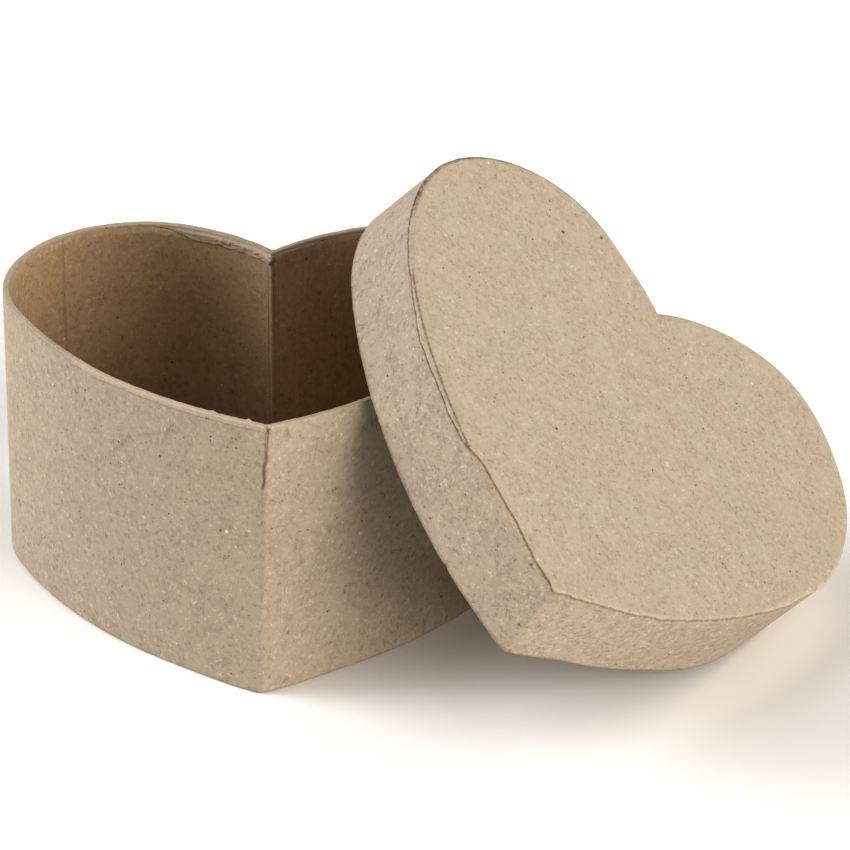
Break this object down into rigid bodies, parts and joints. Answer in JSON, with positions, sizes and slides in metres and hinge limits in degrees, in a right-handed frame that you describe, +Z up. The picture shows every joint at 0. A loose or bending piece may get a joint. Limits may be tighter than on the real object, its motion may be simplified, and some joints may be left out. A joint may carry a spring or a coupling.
{
  "type": "heart-shaped paper craft box",
  "caption": "Open heart-shaped box of pasted kraft paper over board, with a separate lift-off lid that leans against its right side.",
  "frame": {"origin": "on the underside of the box, on its line of symmetry, midway between the centres of the two lobes", "axes": "+Z up; the tip of the heart points along -Y and the cleft along +Y; the lid leans on the +X side"},
  "size_m": [0.1991, 0.1369, 0.1077],
  "materials": {
    "kraft_cover": "matt recycled kraft paper with dark and pale specks",
    "kraft_lining": "matt recycled kraft paper, warmer and plainer",
    "corner_tape": "matt gummed kraft tape",
    "grey_board": "matt solid grey board"
  },
  "bodies": {
    "box": {"box_wall_left": "grey_board", "box_wall_right": "grey_board", "box_floor": "grey_board", "box_tip_tape": "corner_tape", "box_cleft_tape": "corner_tape", "box_lining_left": "kraft_lining", "box_lining_right": "kraft_lining", "box_floor_liner": "kraft_lining", "box_wrap": "kraft_cover", "box_underside_paper": "kraft_cover"},
    "lid": {"lid_rim_left": "grey_board", "lid_rim_right": "grey_board", "lid_panel": "grey_board", "lid_tip_tape": "corner_tape", "lid_cleft_tape": "corner_tape", "lid_lining_left": "kraft_lining", "lid_lining_right": "kraft_lining", "lid_panel_liner": "kraft_lining", "lid_rim_wrap": "kraft_cover", "lid_top_paper": "kraft_cover"}
  },
  "joints": [
    {"name": "lid_lift", "type": "slide", "parent": "box", "child": "lid", "axis": [0, 0, 1], "range_m": [0, 0.1]}
  ]
}
